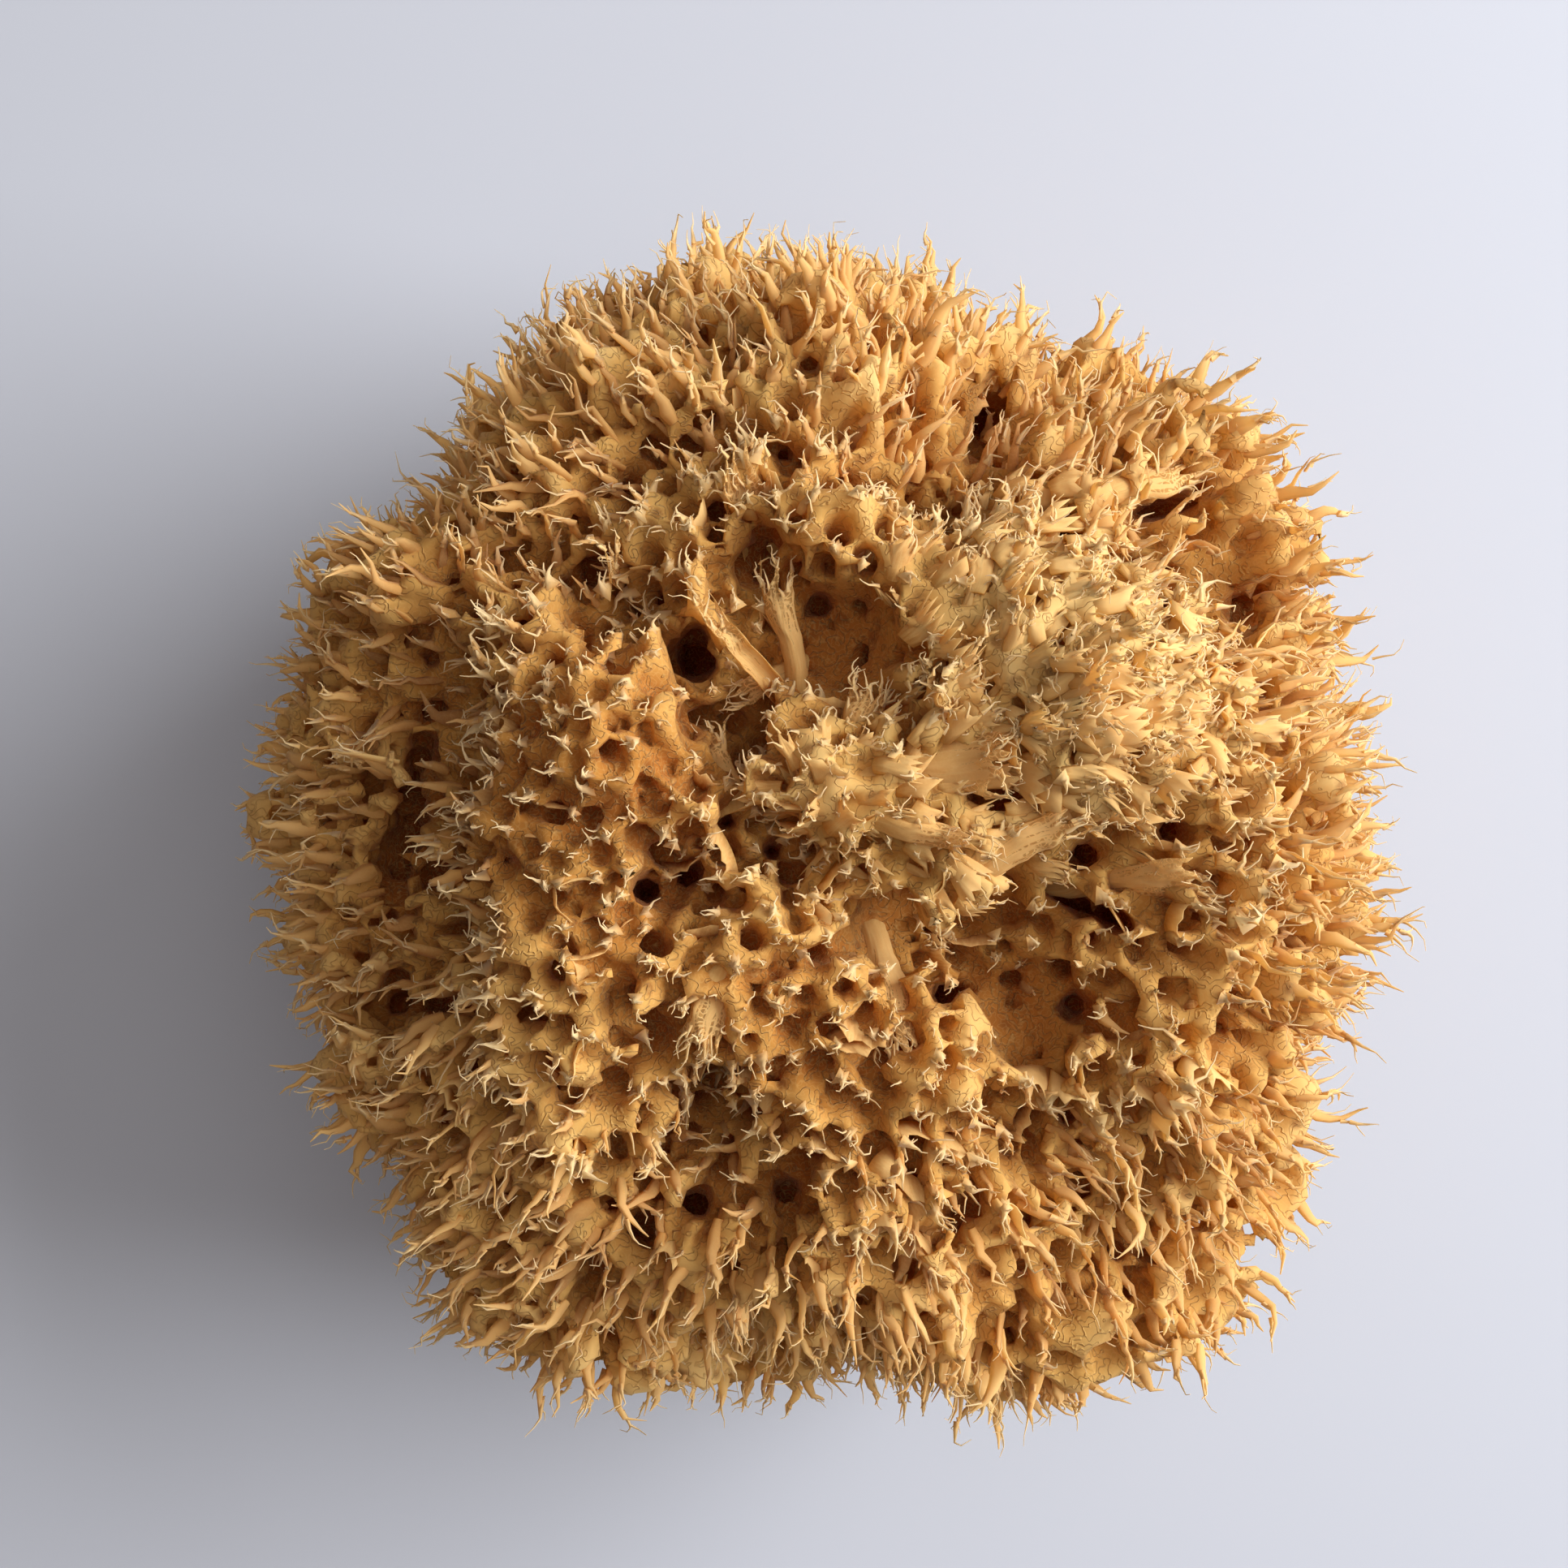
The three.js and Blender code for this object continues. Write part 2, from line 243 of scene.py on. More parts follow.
class Block:
    """A block of distances in metres, negative inside, one for each voxel."""

    def __init__(self, points, triangles, reach):
        self.transform = openvdb.createLinearTransform(voxelSize=VOXEL)
        grid = openvdb.FloatGrid.createLevelSetFromPolygons(
            points, triangles=triangles.astype(np.uint32), transform=self.transform, halfWidth=reach
        )
        low, high = (np.array(corner) for corner in grid.evalActiveVoxelBoundingBox())
        self.low = low
        self.field = np.empty(high - low + 1, np.float32)
        grid.copyToArray(self.field, ijk=self.corner())

    def corner(self):
        return tuple(int(index) for index in self.low)

    def places(self, slices=(slice(None),) * 3):
        """Each axis's coordinates of some of the voxels, shaped to be used together."""
        axes = zip(self.field.shape, self.low, slices)
        lines = [((np.arange(n) + first)[part] * VOXEL).astype(np.float32) for n, first, part in axes]
        return lines[0][:, None, None], lines[1][None, :, None], lines[2][None, None, :]

    def near(self, ends, room):
        """The slices of the block that hold some points, with room round them."""
        first = np.floor((ends.min(0) - room) / VOXEL).astype(int) - self.low
        last = np.ceil((ends.max(0) + room) / VOXEL).astype(int) - self.low + 1
        first, last = np.maximum(first, 0), np.minimum(last, self.field.shape)
        return tuple(slice(a, b) for a, b in zip(first, np.maximum(first, last)))

    def along(self, slices, start, end):
        """For voxels round a line: the share of the way along it, and the distance from it."""
        x, y, z = self.places(slices)
        run = (end - start).astype(np.float32)
        share = ((x - start[0]) * run[0] + (y - start[1]) * run[1] + (z - start[2]) * run[2]) / (run @ run)
        held = np.clip(share, 0, 1)
        away = np.sqrt(
            (x - start[0] - held * run[0]) ** 2
            + (y - start[1] - held * run[1]) ** 2
            + (z - start[2] - held * run[2]) ** 2
        )
        return share, away

    def round(self, middle, room):
        """The slices round a point, and each voxel's distance from it."""
        slices = self.near(middle[None], room)
        return slices, self.along(slices, middle, middle + 0.001 * MM)[1]

    def grain(self, cell, seed):
        """Smooth random values, mostly from -1 to 1, that change over the length cell."""
        counts = [int(np.ceil(n * VOXEL / cell)) + 2 for n in self.field.shape]
        values = np.random.default_rng(seed).uniform(-1.6, 1.6, counts).astype(np.float32)
        for axis, n in enumerate(self.field.shape):
            at = np.arange(n) * VOXEL / cell
            first = at.astype(int)
            part = step(0, 1, at - first).astype(np.float32)
            part = part.reshape([n if other == axis else 1 for other in range(3)])
            values = np.take(values, first, axis) * (1 - part) + np.take(values, first + 1, axis) * part
        return values

    def sample(self, points, field=None):
        """The field at any points, between its voxels."""
        field = self.field if field is None else field
        at = np.clip(points / VOXEL - self.low, 0, np.array(field.shape) - 1.001)
        first = at.astype(int)
        part = at - first
        total = 0
        for corner in np.ndindex(2, 2, 2):
            share = np.prod(np.where(corner, part, 1 - part), axis=1)
            i, j, k = (first + corner).T
            total = total + share * field[i, j, k]
        return total

    def outward(self, points, field=None, reach=1.5 * VOXEL):
        """The way out of the field at any points."""
        steps = reach * np.eye(3)
        slopes = [self.sample(points + way, field) - self.sample(points - way, field) for way in steps]
        return unit(np.stack(slopes, 1))

    def cut(self, slices, shape, blend):
        """Takes a shape away, with a soft edge."""
        here = self.field[slices]
        share = np.clip(0.5 + 0.5 * (shape + here) / blend, 0, 1)
        self.field[slices] = -(shape * (1 - share) - here * share - blend * share * (1 - share))

    def skin(self, field=None):
        """Points and four-sided faces of the surface, facing out."""
        grid = openvdb.FloatGrid()
        grid.transform = self.transform
        grid.background = 5 * MM
        grid.copyFromArray(np.ascontiguousarray(self.field if field is None else field), ijk=self.corner())
        points, quads = grid.convertToQuads(isovalue=0.0)
        return points.astype(np.float64), quads.astype(np.int64)


def seen_at(x, y):
    """The point of the body that the camera sees at a pixel of the photograph."""
    slope = HALF_VIEW / HALF_PHOTO
    ray = np.array([(x - HALF_PHOTO) * slope, (HALF_PHOTO - y) * slope, -1])
    stops = CAMERA + ray * np.linspace(95, 150, 500)[:, None] * MM
    inside = block.sample(stops, block.field) < 0
    return stops[inside.argmax()] if inside.any() else stops[np.abs(block.sample(stops)).argmin()]


def between(pair, share):
    """The value that lies a share of the way from a pair's first to its second."""
    return pair[0] + (pair[1] - pair[0]) * share


def largest_part(points, quads):
    """A skin's largest part, without the crumbs beside it and the hollows inside it."""
    label = np.arange(len(points))
    settled = False
    while not settled:
        before = label.copy()
        least = label[quads].min(1)
        for corner in quads.T:
            np.minimum.at(label, corner, least)
        label = label[label]
        settled = (label == before).all()
    kept = label == np.bincount(label[quads[:, 0]]).argmax()
    index = np.cumsum(kept) - 1
    return points[kept], index[quads[kept[quads[:, 0]]]]


solid_points, solid_triangles = merged_points(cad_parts["sponge"].data)
drawn = solid_points.copy()
drawn[drawn[:, 2] < 0.02 * MM, 2] = FOOT_DRAWN_DOWN
block = Block(drawn, solid_triangles, reach=16.0)
block.field = softened(block.field, SOFTENED_BY, 3) + MEAN_SINKS
block.field += LUMP_HEIGHT * block.grain(LUMP_SIZE, 1)

for x, y, wide, high in SWELLS:
    slices, away = block.round(seen_at(x, y), SPREAD * wide * MM)
    block.field[slices] -= high * MM * np.exp(-((away / (wide * MM)) ** 2))
bare = np.zeros(block.field.shape, np.float32)
for x, y, wide, deep in BASINS:
    slices, away = block.round(seen_at(x, y), SPREAD * wide * MM)
    block.field[slices] += deep * MM * np.exp(-((away / (0.8 * wide * MM)) ** 4))
    bare[slices] = np.maximum(bare[slices], np.exp(-((away / (wide * MM)) ** 6)))
felted = np.zeros(block.field.shape, np.float32)
for x, y, wide, much in FELTED:
    slices, away = block.round(seen_at(x, y), FELT_SPREAD * wide * MM)
    felted[slices] = np.maximum(felted[slices], much * np.exp(-((away / (wide * MM)) ** 4)))
# Painted light and shade, summed into each voxel: paler towards the window, deeper amber on the shaded side and in
# basins.
light_and_shade_tone = np.zeros(block.field.shape, np.float32)
for x, y, wide, much in PAINTED_LIGHT_AND_SHADE:
    slices, away = block.round(seen_at(x, y), SPREAD * wide * MM)
    light_and_shade_tone[slices] += much * np.exp(-((away / (wide * MM)) ** 2))
form = block.field.copy()  # the smooth form, kept to tell how high a point stands over it

# The pits' middles, spread evenly over the form.
rays = unit(rng.normal(size=(PIT_TRIES, 3)))
rays = rays[rays[:, 2] > -0.62]
reach = np.full(len(rays), 34 * MM)
for _ in range(14):
    reach -= 0.9 * block.sample(HEART + rays * reach[:, None], form)
middles = HEART + rays * reach[:, None]
flank = step(CROWN_RISE, FLANK_RISE, np.arcsin(rays[:, 2]))
spacings = between(PIT_SPACING, flank) * rng.uniform(0.65, 1.4, len(rays))
kept = spaced_out(middles, PIT_ROOMS[0] * spacings, middles[:, 2] > LOWEST_PIT)
middles, spacings = middles[kept], spacings[kept]
for _ in range(PIT_PASSES):
    tree = tree_of(middles)
    moves = np.zeros(middles.shape)
    for k, middle in enumerate(middles):
        near = [other for _, other, away in tree.find_range(middle, PIT_ROOMS[1] * spacings[k]) if away > 0]
        apart = middle - middles[near]
        away = np.linalg.norm(apart, axis=1, keepdims=True)
        moves[k] = (apart / away * np.maximum(1.1 * spacings[k] - away, 0)).sum(0) * 0.12
    middles = middles + moves
    middles -= block.outward(middles, form, 2 * MM) * block.sample(middles, form)[:, None]
rays = unit(middles - HEART)
out_of_form = block.outward(middles, form, 3 * MM)
leans = unit(0.55 * rays + 0.45 * out_of_form + 0.10 * rng.normal(size=rays.shape))

# The nearest pit's axis to each voxel, as a share of that pit's spacing.
nearness = np.full(block.field.shape, 2.0, np.float32)
for middle, lean, spacing in zip(middles, leans, spacings):
    ends = np.array([middle - PIT_REACH[0] * lean, middle + PIT_REACH[1] * lean])
    slices = block.near(ends, 0.9 * spacing)
    away = block.along(slices, ends[0], ends[1])[1]
    nearness[slices] = np.minimum(nearness[slices], away / spacing)

# The walls are what the pits leave, from a cap over the horns' tips down to the pits' floors.
x, y, z = block.places()
rise = np.arctan2(z - HEART[2], np.sqrt(x * x + y * y))
flank = step(CROWN_RISE, FLANK_RISE, rise).astype(np.float32)
depth = between(PIT_DEPTH, flank)
height = between(HORN_HEIGHT, flank) * (1 + 0.3 * block.grain(3.5 * MM, 3))
spacing = between(PIT_SPACING, flank)
felted = np.maximum(felted, step(0.1, 0.9, block.grain(8 * MM, 4)) * (1 - 0.85 * flank))
depth = depth * (1 - 0.8 * felted) * (1 - 0.7 * bare) * (1 + 0.35 * block.grain(4 * MM, 5))
depth = np.minimum(depth, DEEPEST_PIT)
height = height * (1 - 0.5 * felted) * (1 - 0.85 * bare)
share = (form + depth) / (depth + height)
cup = np.sqrt(np.clip(1 - (1 - np.clip(share, 0, CUP) / CUP) ** 2, 0, 1))
flare = np.clip((share - CUP) / (1 - CUP), 0, 2)
half = FLOOR_HALF * cup + (MOUTH_HALF - FLOOR_HALF) * flare**1.6
half += 2.0 * np.clip(share - 1, 0, 1)
half = np.where(share <= 0, 10 * share, half)
waver = 0.11 * block.grain(2.6 * MM, 10) + 0.15 * block.grain(1.4 * MM, 6) + 0.06 * block.grain(0.75 * MM, 7)
pits = (half - nearness - waver * 0.55) * spacing
cap = form - 1.25 * height + CAP_BUMPS * block.grain(1.4 * MM, 8)
block.field = np.maximum(cap, pits).astype(np.float32)
block.field = np.maximum(block.field, form - 2.6 * MM - MEAN_SINKS)
body = form + depth + FLOOR_BUMPS * block.grain(1.1 * MM, 9)
mix = np.clip(0.5 + 0.5 * (body - block.field) / PITS_JOIN, 0, 1)
block.field = (body * (1 - mix) + block.field * mix - PITS_JOIN * mix * (1 - mix)).astype(np.float32)

torn = block.grain(1.6 * MM, 11) + 0.6 * block.grain(0.8 * MM, 12)
mouths = []
for x, y, wide, deep in HOLES:
    middle = seen_at(x, y)
    ray = unit(middle - CAMERA)
    mouths.append((middle, wide))
    ends = np.array([middle - 5 * MM * ray, middle + deep * MM * ray])
    slices = block.near(ends, 2 * wide * MM)
    share, away = block.along(slices, ends[0], ends[1])
    ragged = 0.28 * MM * wide * torn[slices]
    block.cut(slices, away + ragged - wide * MM * (1.2 - 0.45 * np.clip(share, 0, 1)), 0.4 * MM)
for x0, y0, x1, y1, wide, deep in SLOTS:
    for share in np.linspace(0, 1, 9):
        middle = seen_at(x0 + (x1 - x0) * share, y0 + (y1 - y0) * share)
        ray = unit(middle - CAMERA)
        deep_here = deep * MM * math.sin(math.pi * (0.2 + 0.6 * share))
        ends = np.array([middle - 4 * MM * ray, middle + deep_here * ray])
        slices = block.near(ends, 2 * wide * MM)
        away = block.along(slices, ends[0], ends[1])[1]
        ragged = 0.35 * MM * wide * torn[slices]
        block.cut(slices, away + ragged - wide * MM * math.sin(math.pi * (0.15 + 0.7 * share)), 0.5 * MM)

# Pores all over, sunk a little into whatever surface they meet.
points, quads = block.skin()
chosen = rng.choice(len(points), PORES, replace=False)
inward = -block.outward(points[chosen])
for place, way, size in zip(points[chosen], inward, rng.uniform(0, 1, PORES)):
    radius = between(PORE_RADII, size**4)
    ends = np.array([place - 0.3 * radius * way, place + PORE_DEPTH * radius * way])
    slices = block.near(ends, 1.3 * radius)
    block.cut(slices, block.along(slices, ends[0], ends[1])[1] - radius, 0.1 * MM)
block.field = np.maximum(block.field, -block.places()[2])
points, quads = largest_part(*block.skin())


# Spongin
# The horny fibre itself, dry and matt. It is honey tan and nearly white at the frayed tips. Its colour is painted
# red-brown where it lies deep and where little air is open round it, which is painted shade. Light goes some way
# into it.

FIBRE_COLOURS_WITH_SHADE = (
    (0.0, (0.28, 0.062, 0.010)),
    (0.28, (0.48, 0.150, 0.024)),
    (0.52, (0.65, 0.295, 0.062)),
    (0.76, (0.84, 0.500, 0.145)),
    (1.0, (0.96, 0.695, 0.285)),
)
PORE_SHADE_COLOUR = (0.30, 0.095, 0.022, 1)
FELT_COLOUR = (0.95, 0.65, 0.24, 1)
STREAK_COLOUR = (0.97, 0.70, 0.28, 1)
TIP_COLOUR = (0.96, 0.78, 0.47, 1)
SHEEN_TINT = (1.0, 0.86, 0.62, 1)


class Value:
    """A socket with arithmetic, so that shader maths reads as an expression."""

    def __init__(self, tree, socket):
        self.tree, self.socket = tree, socket

    def make(self, kind, settings=None, inputs=None, output=0):
        node = self.tree.nodes.new(kind)
        for key, value in (settings or {}).items():
            if key == "stops":
                ramp = node.color_ramp
                while len(ramp.elements) < len(value):
                    ramp.elements.new(0.5)
                for element, (at, colour) in zip(ramp.elements, value):
                    element.position = at
                    element.color = (*colour, 1)
            else:
                setattr(node, key, value)
        for key, value in (inputs or {}).items():
            socket = node.inputs[key]
            if isinstance(value, Value):
                self.tree.links.new(value.socket, socket)
            else:
                socket.default_value = value
        return Value(self.tree, node.outputs[output])

    def math(self, operation, first, second=0.0):
        return self.make("ShaderNodeMath", {"operation": operation}, {0: first, 1: second})

    def __add__(self, other):
        return self.math("ADD", self, other)

    __radd__ = __add__

    def __sub__(self, other):
        return self.math("SUBTRACT", self, other)

    def __rsub__(self, other):
        return self.math("SUBTRACT", other, self)

    def __mul__(self, other):
        return self.math("MULTIPLY", self, other)

    __rmul__ = __mul__

    def __truediv__(self, other):
        return self.math("DIVIDE", self, other)

    def vector(self, operation, first, second=None, scale=None):
        inputs = {0: first}
        if second is not None:
            inputs[1] = second
        if scale is not None:
            inputs["Scale"] = scale
        return self.make("ShaderNodeVectorMath", {"operation": operation}, inputs)

    def moved(self, way, by):
        """This place, moved along a way."""
        return self.vector("ADD", self, self.vector("SCALE", way, scale=by))

    def noise(self, place, scale, detail=0.0, output="Fac", distortion=0.0):
        inputs = {"Vector": place, "Scale": scale, "Detail": detail, "Distortion": distortion}
        return self.make("ShaderNodeTexNoise", {"noise_dimensions": "3D"}, inputs, output)

    def ranged(self, low, high, to_low=0.0, to_high=1.0):
        """This value, taken from one range to another and held inside it."""
        return self.make("ShaderNodeMapRange", {}, {0: self, 1: low, 2: high, 3: to_low, 4: to_high})

    def mixed(self, first, second):
        """Two colours mixed, with this value as the share of the second."""
        return self.make("ShaderNodeMix", {"data_type": "RGBA"}, {0: self, 6: first, 7: second}, output=2)


def new_material(name):
    """An empty material, a value that starts its expressions, and what takes its surface."""
    material = bpy.data.materials.new(name)
    material.use_nodes = True
    tree = material.node_tree
    tree.nodes.clear()
    output = tree.nodes.new("ShaderNodeOutputMaterial")
    return material, Value(tree, None), output.inputs["Surface"]


def spongin(name, pale, through, sheen, felt_depth=0.0, streaked=False, net=False):
    """The fibre's material: pale is 0 for the flesh and 1 for frayed ends, and through is the light let by."""
    material, at, surface = new_material(name)
    place = at.make("ShaderNodeTexCoord", output="Object")
    names = ("rise", "open_sky", "tip")
    held = [at.make("ShaderNodeAttribute", {"attribute_name": key}, output="Fac") for key in names]
    rise, open_sky, tip = held
    blotch = at.noise(place, 110.0, detail=1.0)
    # Painted shade: the colour runs down the ramp to red-brown lower over the form and where less air is open
    # round it; painted light and shade from the tones come in through rise.
    level = rise * 1.2 + (blotch - 0.5) * 4.0 + (open_sky - 0.5) * 8.0 + tip * 6.0 * pale - 0.4
    colour = at.make("ShaderNodeValToRGB", {"stops": FIBRE_COLOURS_WITH_SHADE}, {0: level.ranged(-7.0, 6.5)})
    if not pale:
        # Painted shade: small dark red-brown spots where pores open in the flesh, standing in for the shade inside
        # them.
        pore_shade = at.make("ShaderNodeTexVoronoi", {}, {"Vector": place, "Scale": 640.0}, output="Distance")
        pore_shade = pore_shade.ranged(0.16, 0.34, 1.0, 0.0) * blotch.ranged(0.30, 0.46)
        colour = (pore_shade * 0.62).mixed(colour, PORE_SHADE_COLOUR)
    if pale < 1:
        fine = at.noise(place, 3400.0)
        strand = at.math("ABSOLUTE", at.noise(place, 1500.0, distortion=0.8) - 0.5).ranged(0.0, 0.05, 1.0, 0.0)
        wisp = at.math("ABSOLUTE", fine - 0.5).ranged(0.0, 0.08, 1.0, 0.0)
        colour = ((strand * 0.55 + wisp * 0.6) * 0.42).mixed(colour, FELT_COLOUR)
    if streaked:
        share = at.make("ShaderNodeAttribute", {"attribute_name": "share"}, output="Vector")
        run = at.vector("MULTIPLY", share, (15.0, 2.2, 0.0))
        streak = at.noise(run.moved(place, 280.0), 1.0, detail=1.0)
        colour = streak.ranged(0.42, 0.62, 0.0, 0.42).mixed(colour, STREAK_COLOUR)
    if pale:
        colour = ((tip * 1.2 + 0.15) * pale).ranged(0.0, 1.0).mixed(colour, TIP_COLOUR)
    inputs = {
        "Base Color": colour,
        "Roughness": 0.85,
        "IOR": 1.5,
        "Specular IOR Level": 0.1,
        "Sheen Weight": sheen,
        "Sheen Roughness": 0.5,
        "Sheen Tint": SHEEN_TINT,
    }
    if felt_depth:
        bump = {"Strength": 0.8, "Distance": felt_depth, "Height": strand}
        inputs["Normal"] = at.make("ShaderNodeBump", {}, bump)
    if net:
        solid = (tip + (streak - 0.5) * 1.8).ranged(0.68, 0.86, 1.0, 0.0)
        strands = at.math("ABSOLUTE", fine - 0.5).ranged(0.04, 0.10, 0.95, 0.25)
        inputs["Alpha"] = at.math("MAXIMUM", solid, strands)
    shader = at.make("ShaderNodeBsdfPrincipled", {}, inputs)
    passed = at.make("ShaderNodeBsdfTranslucent", {}, {"Color": colour})
    shader = at.make("ShaderNodeMixShader", {}, {0: through, 1: shader, 2: passed})
    at.tree.links.new(shader.socket, surface)
    return material


# The flesh's two pieces
# The body in the picture is cut level at one height into two closed pieces, which share a thin layer inside.
# Each of its points holds how high it stands over the smooth form, raised where it is felted or where light is
# painted, lowered where shade is painted, and how open the air is round it, which sets its painted shade.

PARTED_AT = 14 * MM
PARTS_OVERLAP = 0.4 * MM
TRIANGLES = {"flesh_crown": 190_000, "flesh_foot": 85_000}

flesh_fibre = spongin("spongin_flesh", 0.0, 0.45, 0.15, 0.12 * MM)
# Painted shade: how open the air is round each point, from the softened occupancy, darkens and reddens the fibre
# where little air is open.
occupied = softened((block.field < 0).astype(np.float32), 4, 2)
over = block.sample(points, form)
open_sky = 1 - block.sample(points, occupied)


def store(mesh, values):
    """Gives a mesh's points some named values."""
    for key, rows in values.items():
        wide = rows.ndim == 2
        stored = mesh.attributes.new(key, "FLOAT_VECTOR" if wide else "FLOAT", "POINT")
        stored.data.foreach_set("vector" if wide else "value", rows.astype(np.float32).ravel())


def linked(name, data):
    """A new object in the scene."""
    made = bpy.data.objects.new(name, data)
    bpy.context.scene.collection.objects.link(made)
    return made


def made_plain(name, mesh, modifier_kind, settings):
    """A new piece: a mesh with one modifier, taken down to a plain mesh."""
    source = linked(name + "_source", mesh)
    modifier = source.modifiers.new("make", modifier_kind)
    for key, value in settings.items():
        if modifier_kind == "NODES" and key != "node_group":
            modifier[modifier.node_group.interface.items_tree[key].identifier] = value
        else:
            setattr(modifier, key, value)
    seen = source.evaluated_get(bpy.context.evaluated_depsgraph_get())
    result = bpy.data.meshes.new_from_object(seen)
    bpy.data.objects.remove(source)
    result.name = name
    return linked(name, result)


heights = block.places()[2]
for name, field in (
    ("flesh_crown", np.maximum(block.field, PARTED_AT - heights)),
    ("flesh_foot", np.maximum(block.field, heights - PARTED_AT - PARTS_OVERLAP)),
):
    part_points, part_quads = largest_part(*block.skin(field.astype(np.float32)))
    thick = bpy.data.meshes.new(name + "_thick")
    thick.vertices.add(len(part_points))
    thick.vertices.foreach_set("co", part_points.astype(np.float32).ravel())
    thick.loops.add(part_quads.size)
    thick.loops.foreach_set("vertex_index", part_quads.astype(np.int32).ravel())
    thick.polygons.add(len(part_quads))
    thick.polygons.foreach_set("loop_start", np.arange(0, part_quads.size, 4, dtype=np.int32))
    thick.update(calc_edges=True)
    thick.shade_smooth()
    flesh = made_plain(name, thick, "DECIMATE", {"ratio": TRIANGLES[name] / (2 * len(part_quads))})
    thin = points_of(flesh.data).astype(np.float64)
    thin[:, 2] = np.maximum(thin[:, 2], 0)
    flesh.data.vertices.foreach_set("co", thin.astype(np.float32).ravel())
    # The rise that colours the fibre carries the painted light and shade of the tones.
    colouring = block.sample(thin, form) / MM + block.sample(thin, felted) + block.sample(thin, light_and_shade_tone)
    store(flesh.data, {"rise": colouring, "open_sky": 1 - block.sample(thin, occupied)})
    flesh.data.materials.append(flesh_fibre)
    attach(flesh, "root")
    if name == "flesh_crown":
        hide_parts("sponge")

# The threads
# Each horn of the crown ends in two loose threads, which are bundles of the same fibre, and more stand on the
# walls. They dried curled on the crown and straighter towards the flanks. They are thinnest and palest at the end.

THREAD_STEPS = 6
THREAD_SIDES = 3
THREAD_RADII = (0.06 * MM, 0.085 * MM)
THREAD_LENGTHS = (1.2 * MM, 2.2 * MM)
ROOM_OUTSIDE = 1.4 * MM  # how far a thread may reach past the solid's box
STRAIGHT = 0.3  # the share of a thread's length before it starts to bend
FLOOR_ROOM = 0.2 * MM
HALF_NOISE = (0.5, 0.5, 0.5)  # the middle of a noise's colour

edges = np.concatenate([quads[:, [0, 1]], quads[:, [1, 2]], quads[:, [2, 3]], quads[:, [3, 0]]])
highest = over.copy()
for _ in range(2):
    higher = highest.copy()
    np.maximum.at(higher, edges[:, 0], highest[edges[:, 1]])
    highest = higher
settled = points.copy()
count = np.bincount(edges[:, 0], minlength=len(points))[:, None]
for _ in range(6):
    ends = settled[edges[:, 1]].T
    total = [np.bincount(edges[:, 0], weights=line, minlength=len(points)) for line in ends]
    settled = 0.3 * settled + 0.7 * np.stack(total, 1) / count
pointing = ((points - settled) * unit(points - HEART)).sum(1)
tips = (over >= highest) & (over > -0.4 * MM) & (pointing > 0.12 * MM) & (points[:, 2] > 0.5 * MM)
tips = np.flatnonzero(tips)
ridges = np.flatnonzero((pointing > 0.13 * MM) & (over > 0.3 * MM) & (points[:, 2] > 1 * MM))
ridges = rng.permutation(ridges)


def flank_share(places):
    """How far places lie from the crown, at 0, towards the flanks, at 1."""
    return step(CROWN_RISE, FLANK_RISE, np.arcsin(unit(places - HEART)[:, 2]))


def held_inside(root, way, long, outside, least):
    """Lengths cut short where they would reach too far past the solid's box."""
    for sign, limit in ((1, solid_high), (-1, solid_low)):
        for axis in range(3):
            room = sign * (limit[axis] - root[:, axis]) + outside * (limit[axis] != 0)
            speed = np.maximum(sign * way[:, axis], 1e-3)
            long = np.minimum(long, np.maximum(room, least) / speed)
    return long


def thread_starts(chosen, fan, flares):
    """For threads on some of the flesh's points: where each starts, its way out, its side and its length."""
    n = len(chosen)
    way = unit(points[chosen] - settled[chosen])
    way = unit(way + 0.5 * unit(points[chosen] - HEART) + fan * rng.normal(size=way.shape))
    side = unit(np.cross(way, rng.normal(size=way.shape)))
    flank = flank_share(points[chosen])
    long = between(THREAD_LENGTHS, flank) * rng.uniform(0.5, 1.35, n)
    root = points[chosen] - way * 0.35 * MM
    return {
        "root": root,
        "way": way,
        "side": side,
        "long": held_inside(root, way, long, ROOM_OUTSIDE, 0.1 * MM),
        "bend": rng.choice((-1, 1), n) * rng.uniform(0.15, 1, n) * (3.2 - 1.7 * flank),
        "thick": rng.uniform(*THREAD_RADII, n) * (0.85 + 0.3 * flank),
        "flare": rng.uniform(*flares, n),
        "tilt": np.zeros(n),
        "rise": over[chosen] / MM + block.sample(points[chosen], light_and_shade_tone),
        "open_sky": open_sky[chosen],
    }


def cloud_of(name, starts):
    """A mesh of loose points, each with the values that its thread or web is made from."""
    cloud = bpy.data.meshes.new(name + "_points")
    cloud.from_pydata(starts["root"].tolist(), [], [])
    store(cloud, starts)
    return cloud


def new_group(name, inputs):
    """A geometry node group with named inputs, as values, and what takes its result."""
    group = bpy.data.node_groups.new(name, "GeometryNodeTree")
    group.interface.new_socket("Geometry", in_out="OUTPUT", socket_type="NodeSocketGeometry")
    for key, kind in {"Geometry": "Geometry", **inputs}.items():
        group.interface.new_socket(key, in_out="INPUT", socket_type="NodeSocket" + kind)
    entry = group.nodes.new("NodeGroupInput")
    given = {socket.name: Value(group, socket) for socket in entry.outputs if socket.name}
    return group, given, group.nodes.new("NodeGroupOutput").inputs[0]


def stored_value(at, name, kind="FLOAT"):
    return at.make("GeometryNodeInputNamedAttribute", {"data_type": kind}, {"Name": name})


def stored_vector(at, name):
    return stored_value(at, name, "FLOAT_VECTOR")


